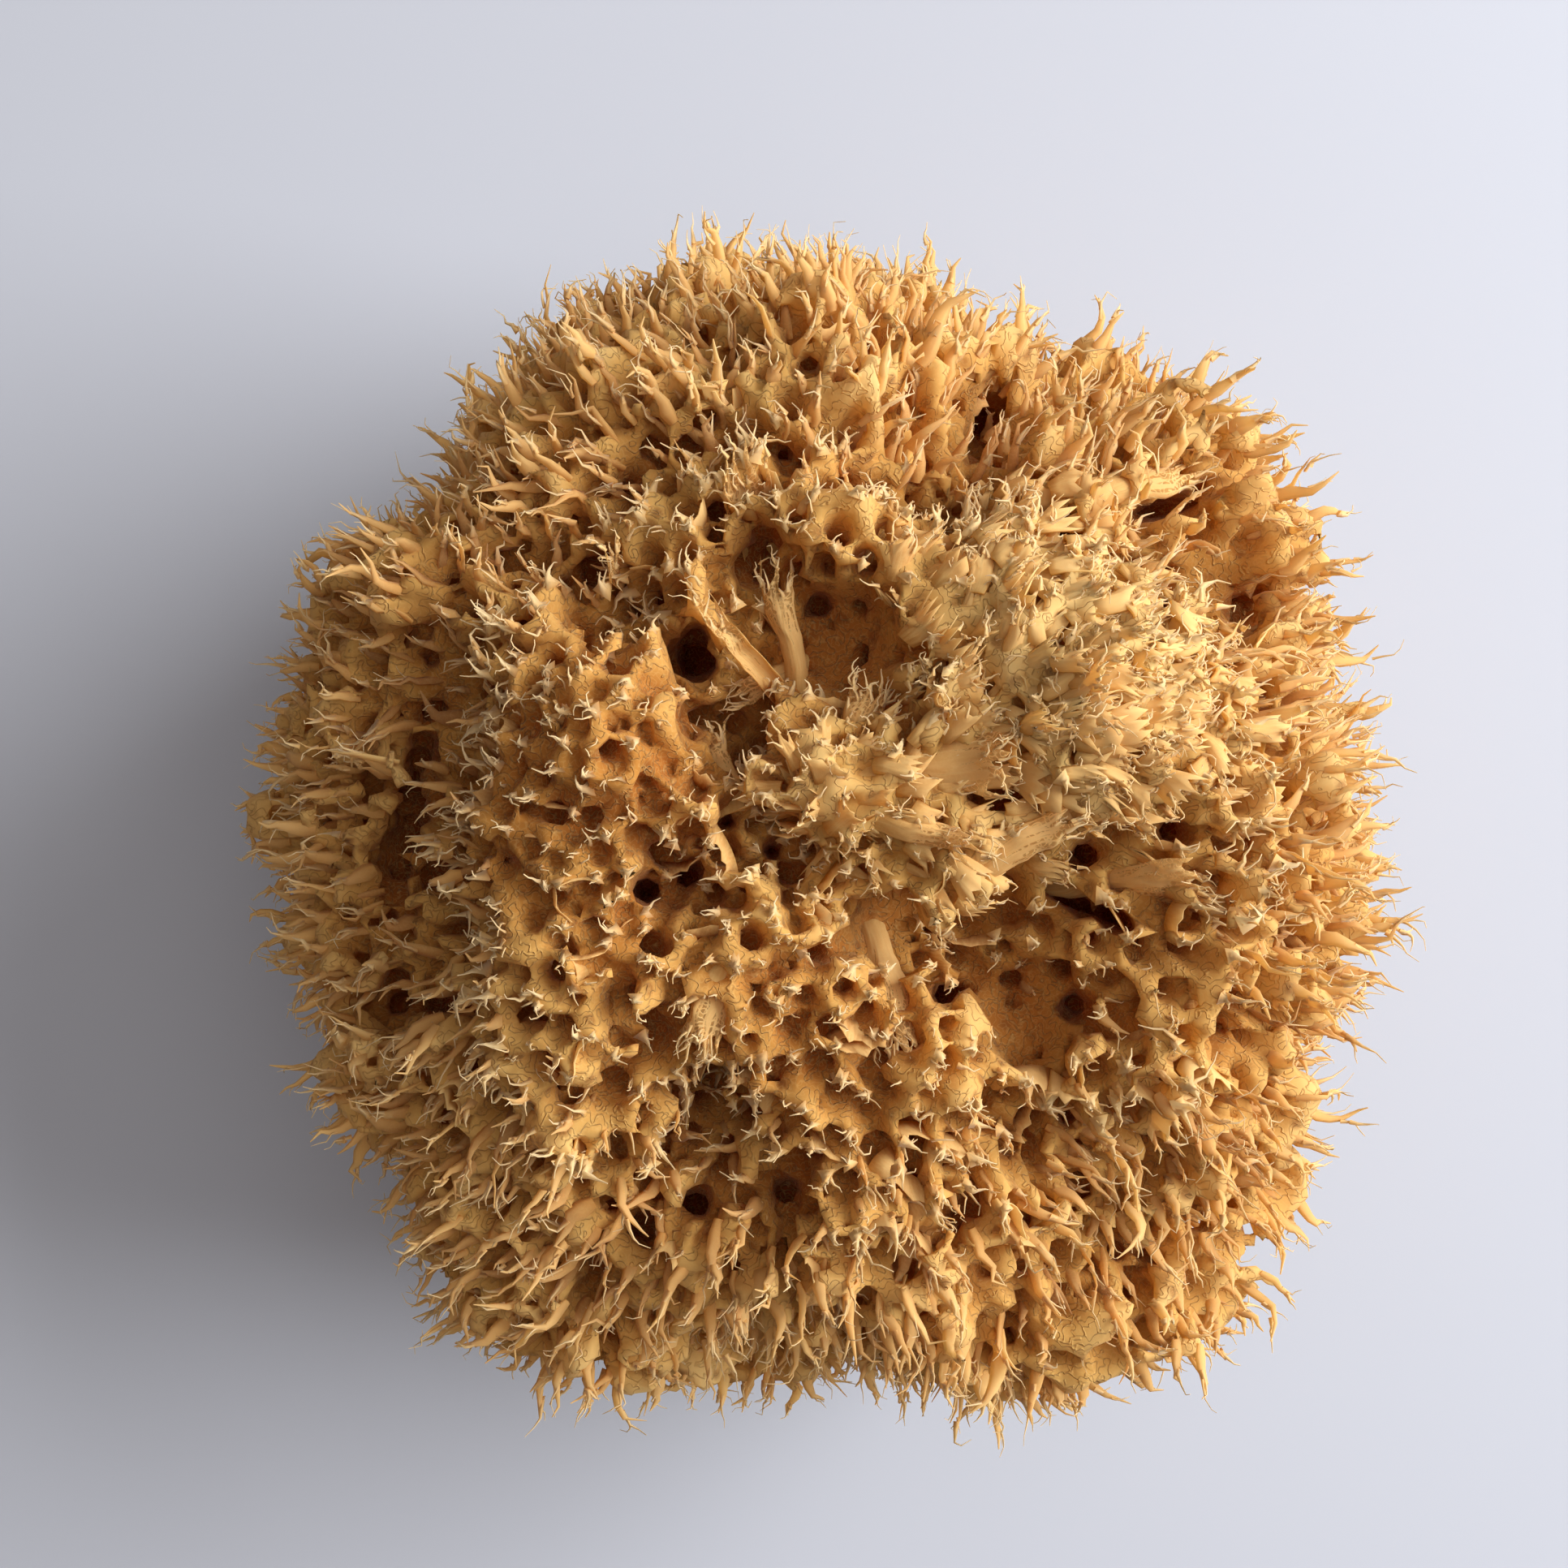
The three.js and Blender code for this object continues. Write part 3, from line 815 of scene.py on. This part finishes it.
def keep_as(at, geometry, name, value, kind="FLOAT"):
    """Stores a value on the points of a geometry."""
    inputs = {"Geometry": geometry, "Name": name, "Value": value}
    return at.make("GeometryNodeStoreNamedAttribute", {"data_type": kind, "domain": "POINT"}, inputs)


def finished(at, geometry, material, leaving):
    """Smooths a geometry, gives it its material and sends it out of the group."""
    geometry = at.make("GeometryNodeSetShadeSmooth", {}, {"Geometry": geometry})
    geometry = at.make("GeometryNodeSetMaterial", {}, {"Geometry": geometry, "Material": material})
    at.tree.links.new(geometry.socket, leaving)


thread_group, given, leaving = new_group(
    "threads",
    {
        "Steps": "Int",
        "Sides": "Int",
        "Profile": "Vector",
        "Power": "Float",
        "Root": "Float",
        "Wave": "Float",
        "Material": "Material",
    },
)
at = given["Geometry"]
line = at.make("GeometryNodeCurvePrimitiveLine")
line = at.make("GeometryNodeResampleCurve", {}, {"Curve": line, "Count": given["Steps"]})
threads = at.make("GeometryNodeInstanceOnPoints", {}, {"Points": given["Geometry"], "Instance": line})
threads = at.make("GeometryNodeRealizeInstances", {}, {"Geometry": threads})
share = at.make("GeometryNodeSplineParameter", output="Factor")
bend = stored_value(at, "bend")
turned = at.math("MAXIMUM", share - STRAIGHT, 0.0) / (1 - STRAIGHT) * bend + 0.0001
along = at.math("MINIMUM", share, STRAIGHT) + at.math("SINE", turned) / bend * (1 - STRAIGHT)
aside = (1.0 - at.math("COSINE", turned)) / bend * (1 - STRAIGHT)
long = stored_value(at, "long")
root = stored_vector(at, "root")
way = stored_vector(at, "way")
noise_place = at.vector("SCALE", root, scale=900.0).moved(way, share * 2.2)
wave = at.vector("SUBTRACT", at.noise(noise_place, 1.0, detail=1.0, output="Color"), HALF_NOISE)
place = root.moved(way, along * long).moved(stored_vector(at, "side"), aside * long)
place = at.vector("MAXIMUM", place.moved(wave, share * long * given["Wave"]), (-1.0, -1.0, FLOOR_ROOM))
threads = at.make("GeometryNodeSetPosition", {}, {"Geometry": threads, "Position": place})
threads = keep_as(at, threads, "tip", share)
ring = at.make("GeometryNodeCurvePrimitiveCircle", {}, {"Resolution": given["Sides"], "Radius": 1.0})
ring = at.make("GeometryNodeTransform", {}, {"Geometry": ring, "Scale": given["Profile"]})
threads = at.make("GeometryNodeSetCurveNormal", {"mode": "Z_UP"}, {"Curve": threads})
threads = at.make("GeometryNodeSetCurveTilt", {}, {"Curve": threads, "Tilt": stored_value(at, "tilt")})
root_flare = at.math("POWER", 1.0 - share, given["Power"]) * stored_value(at, "flare")
root_share = share.ranged(0.0, 0.22, given["Root"], 1.0)
taper = stored_value(at, "thick") * (1.1 - share * 0.6 + root_flare) * root_share
threads = at.make(
    "GeometryNodeCurveToMesh", {}, {"Curve": threads, "Profile Curve": ring, "Scale": taper, "Fill Caps": True}
)
at_floor = at.vector("MAXIMUM", at.make("GeometryNodeInputPosition"), (-1.0, -1.0, 0.0))
threads = at.make("GeometryNodeSetPosition", {}, {"Geometry": threads, "Position": at_floor})
finished(at, threads, given["Material"], leaving)


def threads_from(name, starts, fibre, **changes):
    """A piece made of threads."""
    settings = {"Steps": THREAD_STEPS, "Sides": THREAD_SIDES, "Profile": (1, 1, 1), "Power": 2.0, "Root": 1.0}
    settings = {"node_group": thread_group, **settings, "Wave": 0.9, "Material": fibre, **changes}
    piece = made_plain(name, cloud_of(name, starts), "NODES", settings)
    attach(piece, "root")


thread_fibre = spongin("spongin_threads", 1.0, 0.45, 0.5)
tip_threads = np.repeat(tips[flank_share(points[tips]) < 0.8], 2)
crown = points[ridges][:, 2] - HEART[2] > 0.68 * np.linalg.norm(points[ridges] - HEART, axis=1)
for name, chosen, fan, flares in (
    ("threads_on_horns", tip_threads, 0.35, (4, 9)),
    ("threads_on_walls", ridges[crown][:1100], 0.6, (0.5, 3.5)),
):
    threads_from(name, thread_starts(chosen, fan, flares), thread_fibre, Power=2.4, Wave=0.7)

# The flames
# On the flanks the walls run out in long soft flames of felt that hang outwards and a little down. Each is
# a flat strand that grows out of the flesh and thins out to a point, and two loose threads leave it on the way.

FLAME_SPACING = 1.45 * MM
FLAME_LENGTHS = (1.3 * MM, 3.9 * MM)
FLAME_RADII = (0.06, 0.09)  # millimetres
FLAME_SUNK = 0.8 * MM
FLAME_TRIES = 24_000
LOOSE_THREADS = 2
LOOSE_RADII = (0.035, 0.065)  # millimetres

sites = np.flatnonzero((over > 0.1 * MM) & (pointing > 0.04 * MM) & (points[:, 2] > 2.0 * MM))
gaps = block.sample(points[sites], block.grain(7 * MM, 20))
sites = sites[(rng.random(len(sites)) < flank_share(points[sites])) & (gaps < 0.75) & (open_sky[sites] > 0.42)]
sites = rng.permutation(sites)[:FLAME_TRIES]
sites = sites[spaced_out(points[sites], FLAME_SPACING)]
n = len(sites)
out = unit(points[sites] - HEART)
flank = flank_share(points[sites])
swirl = np.stack([block.sample(points[sites], block.grain(6 * MM, seed)) for seed in (21, 22, 23)], 1)
normal = block.outward(points[sites], form, 2 * MM)
way = unit(0.75 * out + 0.35 * normal + 0.3 * swirl + 0.24 * rng.normal(size=out.shape))
way = unit(way - np.array([0, 0, 0.12]) * flank[:, None])
curl = unit(np.cross(way, rng.normal(size=way.shape)) - 0.5 * np.array([0, 0, 1]))
curl = unit(curl - way * (curl * way).sum(1, keepdims=True))
long = between(FLAME_LENGTHS, flank) * rng.uniform(0.6, 1.15, n)
root = points[sites] - way * FLAME_SUNK
long = held_inside(root, way, long, 0.6 * ROOM_OUTSIDE, 0.5 * MM)
bend = rng.uniform(0.2, 1.5, n)
flames = {
    "root": root,
    "way": way,
    "side": curl,
    "long": long,
    "bend": bend,
    "thick": rng.uniform(*FLAME_RADII, n) * MM,
    "flare": rng.uniform(4.5, 9.0, n) * (0.6 + 0.4 * flank),
    "tilt": rng.normal(0, 0.6, n),
    "rise": over[sites] / MM + block.sample(points[sites], light_and_shade_tone),
    "open_sky": open_sky[sites],
}
# Each flame's loose threads leave it part of the way along its arc.
held = np.repeat(np.arange(n), LOOSE_THREADS)
n = len(held)
start = rng.uniform(0.35, 0.75, n)
turned = np.maximum(start - STRAIGHT, 0) / (1 - STRAIGHT) * bend[held]
along = np.minimum(start, STRAIGHT) + np.sin(turned) / bend[held] * (1 - STRAIGHT)
aside = (1 - np.cos(turned)) / bend[held] * (1 - STRAIGHT)
root = root[held] + long[held, None] * (way[held] * along[:, None] + curl[held] * aside[:, None])
way = way[held] * np.cos(turned)[:, None] + curl[held] * np.sin(turned)[:, None]
way = unit(way + 0.17 * rng.normal(size=way.shape))
loose = {
    "root": root,
    "way": way,
    "long": held_inside(root, way, long[held] * rng.uniform(0.3, 0.65, n), ROOM_OUTSIDE, 0.3 * MM),
    "side": unit(np.cross(way, rng.normal(size=way.shape))),
    "bend": rng.choice((-1, 1), n) * rng.uniform(0.3, 2.2, n),
    "thick": rng.uniform(*LOOSE_RADII, n) * MM,
    "flare": rng.uniform(1, 4.5, n),
    "tilt": np.zeros(n),
    "rise": flames["rise"][held],
    "open_sky": flames["open_sky"][held],
}
flame_fibre = spongin("spongin_flames", 0.3, 0.58, 0.2)
flame_form = {"Steps": 6, "Sides": 5, "Profile": (1, 0.36, 1), "Power": 1.2, "Root": 0.5, "Wave": 0.75}
for name, starts, fibre, changes in (
    ("flames", flames, flame_fibre, flame_form),
    ("flame_threads", loose, thread_fibre, {"Steps": 5}),
):
    order = np.argsort(np.arctan2(starts["root"][:, 1], starts["root"][:, 0]), kind="stable")
    for k, part in enumerate(np.array_split(order, 2)):
        threads_from(f"{name}_{k + 1}", {key: rows[part] for key, rows in starts.items()}, fibre, **changes)

# The webs, the scales and the flaps
# Between neighbouring horns the walls thin out into scalloped webs. On the right side, where light is painted
# paler into the fibre, folds of felt overlap like scales, and some flaps stand free of the crown. All are thin
# sheets of the same fibre, and the edges of the scales and flaps fray into loose threads.

WEBS = 200
WEB_SPANS = (1.0 * MM, 3.1 * MM)  # between the two horns that a web hangs from
TWO_SCALLOPS = 2.2 * MM  # a wider web has two scallops
SCALE_SPACING = 1.35 * MM
SCALE_TRIES = 20_000
SCALE_CLEAR = 1.5  # millimetres between a canal's mouth and the scales
SHEET_THICKNESS = 0.13 * MM
NEARLY_WHOLE = 0.999  # keeps a sheet's far edge inside its last scallop
FRINGE_RADII = (0.04, 0.065)  # millimetres

sheet_group, given, leaving = new_group(
    "webs", {"Across": "Int", "Up": "Int", "Thickness": "Float", "Wave": "Float", "Material": "Material"}
)
at = given["Geometry"]
size = {"Size": (1, 1, 1), "Vertices X": given["Across"], "Vertices Y": given["Up"], "Vertices Z": 2}
sheet = at.make("GeometryNodeMeshCube", {}, size)
cell = at.vector("ADD", at.make("GeometryNodeInputPosition"), (0.5, 0.5, 0.5))
sheet = keep_as(at, sheet, "share", cell, "FLOAT_VECTOR")
sheets = at.make("GeometryNodeInstanceOnPoints", {}, {"Points": given["Geometry"], "Instance": sheet})
sheets = at.make("GeometryNodeRealizeInstances", {}, {"Geometry": sheets})
u = at.make("ShaderNodeSeparateXYZ", {}, {0: stored_vector(at, "share")})
v, w = (Value(at.tree, u.socket.node.outputs[axis]) for axis in (1, 2))
swing = at.math("FRACT", u * stored_value(at, "horns")) * 2.0 - 1.0
cusp = at.math("POWER", at.math("ABSOLUTE", swing), 1.5)
top = stored_value(at, "web") + stored_value(at, "horn") * cusp
deep = stored_value(at, "deep")
lift = v * (top + deep) - deep
side = stored_vector(at, "side")
narrowed = 1.0 - v * stored_value(at, "narrow")
across = at.vector("SCALE", stored_vector(at, "across"), scale=(u - 0.5) * narrowed)
ways = {0: u, 4: stored_vector(at, "way"), 5: stored_vector(at, "other_way")}
way = at.make("ShaderNodeMix", {"data_type": "VECTOR"}, ways, output=1)
place = at.vector("ADD", stored_vector(at, "root"), across).moved(way, lift)
bow = (u - u * u) * 4.0 * stored_value(at, "bow") + v * v * stored_value(at, "lean")
place = place.moved(side, bow)
for fineness, detail, strength in (
    (900.0, 2.0, given["Wave"] * (0.3 + v)),
    (260.0, 0.0, given["Wave"] * 3.0 * v),
):
    wave = at.vector("SUBTRACT", at.noise(place, fineness, detail, "Color"), HALF_NOISE)
    place = place.moved(wave, strength)
place = place.moved(side, (w - 0.5) * (given["Thickness"] * (1.6 - v * 1.1)))
place = at.vector("MAXIMUM", place, (-1.0, -1.0, 0.01 * MM))
sheets = at.make("GeometryNodeSetPosition", {}, {"Geometry": sheets, "Position": place})
finished(at, keep_as(at, sheets, "tip", v), given["Material"], leaving)

tree = tree_of(points[tips])
pairs = []
for k, tip in enumerate(tips):
    around = tree.find_range(points[tip], WEB_SPANS[1])
    near = [other for _, other, away in around if away > WEB_SPANS[0] and other > k]
    pairs += [(tip, tips[other]) for other in near[:3]]
pairs = np.array(pairs)
high = points[pairs[:, 0]] - HEART
pairs = pairs[high[:, 2] > 0.55 * np.linalg.norm(high, axis=1)]
pairs = pairs[rng.permutation(len(pairs))[:WEBS]]
ways = unit(unit(points - settled) + 0.4 * unit(points - HEART))
first, second = points[pairs[:, 0]], points[pairs[:, 1]]
across = second - first
n = len(pairs)
webs = {
    "root": (first + second) / 2,
    "across": across,
    "way": ways[pairs[:, 0]],
    "other_way": ways[pairs[:, 1]],
    "side": unit(np.cross(across, ways[pairs[:, 0]])),
    "horns": np.where(np.linalg.norm(across, axis=1) > TWO_SCALLOPS, 2.0, 1.0) * NEARLY_WHOLE,
    "web": rng.uniform(-1.0, -0.2, n) * MM,
    "horn": rng.uniform(0.3, 0.8, n) * MM + 0.1 * MM,
    "deep": np.full(n, 1.9 * MM),
    "narrow": np.zeros(n),
    "bow": rng.uniform(-0.5, 0.5, n) * MM,
    "lean": rng.uniform(-0.3, 0.3, n) * MM,
    "rise": over[pairs[:, 0]] / MM + block.sample(first, light_and_shade_tone),
    "open_sky": open_sky[pairs].mean(1),
}
# Each scale is fixed along its root and lies outwards over the next.
# The painted light and shade at each point; the scales stand where it paints the crown paler.
painted_paleness = block.sample(points, light_and_shade_tone)
sites = np.flatnonzero((painted_paleness > 0.5) & (over > -0.5 * MM) & (points[:, 2] > 30 * MM))
for middle, wide in mouths:
    sites = sites[np.linalg.norm(points[sites] - middle, axis=1) > (wide + SCALE_CLEAR) * MM]
sites = rng.permutation(sites)[:SCALE_TRIES]
sites = sites[spaced_out(points[sites], (SCALE_SPACING * (1.6 - 0.25 * painted_paleness))[sites])]
n = len(sites)
normal = block.outward(points[sites], form, 2 * MM)
lay = unit(points[sites] * (1, 1, 0)) + (0.3, -0.4, 0)
lay = unit(lay - normal * (lay * normal).sum(1, keepdims=True))
way = unit(0.95 * lay + 0.45 * normal + 0.3 * rng.normal(size=(n, 3)))
side = unit(normal - way * (normal * way).sum(1, keepdims=True))
scales = {
    "root": points[sites] - 0.3 * MM * normal,
    "across": np.cross(way, side) * rng.uniform(0.6, 1.5, n)[:, None] * MM,
    "way": way,
    "other_way": unit(way + 0.3 * rng.normal(size=(n, 3))),
    "side": side,
    "horns": rng.integers(2, 5, n) * NEARLY_WHOLE,
    "web": rng.uniform(0.4, 1.4, n) * MM,
    "horn": rng.uniform(0.5, 1.2, n) * MM,
    "deep": np.full(n, 0.8 * MM),
    "narrow": rng.uniform(-1.2, -0.2, n),
    "bow": rng.uniform(0.1, 0.6, n) * MM,
    "lean": rng.uniform(-0.5, 0.4, n) * MM,
    "rise": over[sites] / MM + painted_paleness[sites] - 0.2,
    "open_sky": np.full(n, 0.7),
}
# The flaps that show from above. Each line holds the pixels of its root and of its end, its width at the
# root in millimetres, how much it narrows (below 0, it widens), its points, their share of its length, how high
# its root and its end stand over the form, and how far it bows, all three in millimetres.
FLAPS = (
    (1072, 1140, 1100, 1280, 2.2, -0.20, 3, 0.22, -0.8, 2.6, 0.8),
    (1295, 1092, 1450, 1082, 1.0, -4.2, 5, 0.10, -0.4, 2.2, 0.6),
    (982, 850, 964, 722, 1.3, -0.30, 2, 0.24, -0.8, 3.0, 0.6),
    (955, 845, 870, 762, 1.3, 0.25, 2, 0.30, -0.8, 3.0, -0.5),
    (990, 812, 922, 885, 1.3, -0.20, 2, 0.14, -0.4, 2.6, 0.5),
    (1135, 935, 1240, 950, 2.0, -0.60, 4, 0.22, -0.8, 2.0, 0.9),
    (1090, 1008, 1205, 1050, 1.5, -0.20, 3, 0.25, -0.8, 1.8, 0.7),
    (1215, 1066, 1320, 1004, 1.9, 0.10, 2, 0.28, -0.8, 2.0, 0.7),
    (1345, 600, 1440, 606, 2.2, -0.50, 5, 0.25, -0.8, 2.4, 0.7),
    (1060, 905, 1066, 848, 2.0, -0.30, 3, 0.35, -0.8, 2.0, 0.6),
    (892, 995, 884, 908, 2.0, -0.30, 3, 0.28, -0.8, 2.2, 0.7),
    (672, 630, 712, 700, 1.3, -0.10, 2, 0.25, -0.8, 1.8, 0.4),
    (790, 752, 776, 692, 1.7, -0.40, 4, 0.25, -0.8, 2.0, 0.5),
    (936, 680, 926, 608, 2.1, -0.50, 4, 0.28, -0.8, 2.2, 0.7),
    (880, 1210, 868, 1262, 1.9, -0.35, 3, 0.28, -0.8, 1.8, 0.6),
)
lines = []
for x0, y0, x1, y1, wide, narrow, horns, horn_share, low, high, bow in FLAPS:
    first, last = seen_at(x0, y0), seen_at(x1, y1)
    out = unit(first - HEART)
    first, last = first + low * MM * out, last + high * MM * unit(last - HEART)
    run = np.linalg.norm(last - first)
    way = (last - first) / run
    side = unit(out - way * (out @ way))
    lines.append((first, np.cross(way, side) * wide * MM, way, side, run, narrow, horns, horn_share, bow))
first, across, way, side, run, narrow, horns, horn_share, bow = (np.array(column) for column in zip(*lines))
n = len(lines)
flaps = {
    "root": first,
    "across": across,
    "way": way,
    "other_way": way,
    "side": side,
    "horns": horns * NEARLY_WHOLE,
    "web": run * (1 - horn_share),
    "horn": run * horn_share,
    "deep": np.full(n, 0.6 * MM),
    "narrow": narrow,
    "bow": bow * MM,
    "lean": np.zeros(n),
    "rise": np.full(n, 1.6),
    "open_sky": np.full(n, 0.7),
}


def frayed(sheets, roots, each, lengths):
    """For loose threads on the free edges of a piece's sheets: where each starts, its way and its length."""
    ends = points_of(sheets).astype(np.float64)
    tip = np.empty(len(ends), np.float32)
    sheets.attributes["tip"].data.foreach_get("value", tip)
    chosen = rng.choice(np.flatnonzero(tip > 0.99), each * len(roots))
    held = chosen // (len(ends) // len(roots))
    n = len(chosen)
    way = unit(unit(ends[chosen] - roots[held]) + 0.3 * rng.normal(size=(n, 3)))
    return {
        "root": ends[chosen] - way * 0.25 * MM,
        "way": way,
        "side": unit(np.cross(way, rng.normal(size=way.shape))),
        "long": rng.uniform(*lengths, n) * MM,
        "bend": rng.choice((-1, 1), n) * rng.uniform(0.3, 2.6, n),
        "thick": rng.uniform(*FRINGE_RADII, n) * MM,
        "flare": rng.uniform(1, 3, n),
        "tilt": np.zeros(n),
        "rise": np.full(n, 2.5),
        "open_sky": np.full(n, 0.75),
    }


web_fibre = spongin("spongin_webs", 0.15, 0.45, 0.05, streaked=True)
flap_fibre = spongin("spongin_flaps", 0.2, 0.45, 0.08, streaked=True, net=True)
for name, starts, across, up, wave, fringe, lengths, fibre in (
    ("webs_between_horns", webs, 7, 3, 0.32, 0, (0, 0), web_fibre),
    ("scales_on_crown", scales, 9, 4, 0.55, 4, (0.5, 1.4), web_fibre),
    ("flaps_on_crown", flaps, 29, 15, 0.75, 14, (0.8, 2.2), flap_fibre),
):
    settings = {"Across": across, "Up": up, "Thickness": SHEET_THICKNESS, "Wave": wave * MM, "Material": fibre}
    piece = made_plain(name, cloud_of(name, starts), "NODES", {"node_group": sheet_group, **settings})
    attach(piece, "root")
    if fringe:
        fringe_starts = frayed(piece.data, starts["root"], fringe, lengths)
        threads_from("threads_on_" + name.split("_")[0], fringe_starts, thread_fibre)

# The floor, the light and the camera
# The sponge stands on a plain pale table under a window on the right. The camera looks straight down.

FLOOR_HALF_WIDTH = 0.9
FLOOR_COLOUR = (0.475, 0.50, 0.565, 1)
WHITE = (1.0, 1.0, 1.0)
ROOM_COLOUR = (1.0, 0.70, 0.54, 1)
ROOM_STRENGTH = 0.11
SENSOR = 36  # millimetres across, as the lens is

floor_mesh = bpy.data.meshes.new("floor")
corners = [(x * FLOOR_HALF_WIDTH, y * FLOOR_HALF_WIDTH, 0) for x, y in ((-1, -1), (1, -1), (1, 1), (-1, 1))]
floor_mesh.from_pydata(corners, [], [(0, 1, 2, 3)])
floor = linked("floor", floor_mesh)
table, at, surface = new_material("table")
shader = at.make("ShaderNodeBsdfPrincipled", {}, {"Base Color": FLOOR_COLOUR, "Roughness": 0.8})
at.tree.links.new(shader.socket, surface)
floor_mesh.materials.append(table)

for name, place, aim, size, power in (
    ("window", (0.60, 0.17, 0.36), (0, 0, 0.03), (0.6, 0.5), 11.2),
    ("room", (0.15, 0.1, 0.9), (0, 0, 0), (0.9, 0.9), 3.6),
):
    lamp = bpy.data.lights.new(name, "AREA")
    lamp.shape = "RECTANGLE"
    lamp.size, lamp.size_y = size
    lamp.energy = power
    lamp.color = WHITE
    light = linked(name, lamp)
    light.location = place
    light.rotation_euler = (Vector(aim) - Vector(place)).to_track_quat("-Z", "Y").to_euler()

world = bpy.data.worlds.new("room")
world.use_nodes = True
world.node_tree.nodes["Background"].inputs["Color"].default_value = ROOM_COLOUR
world.node_tree.nodes["Background"].inputs["Strength"].default_value = ROOM_STRENGTH
bpy.context.scene.world = world

camera_data = bpy.data.cameras.new("camera")
camera_data.sensor_width = SENSOR
camera_data.lens = SENSOR / 2 / HALF_VIEW
camera_data.clip_start = 0.005
camera = linked("camera", camera_data)
camera.location = CAMERA
bpy.context.scene.camera = camera
bpy.context.scene.view_settings.view_transform = "Standard"
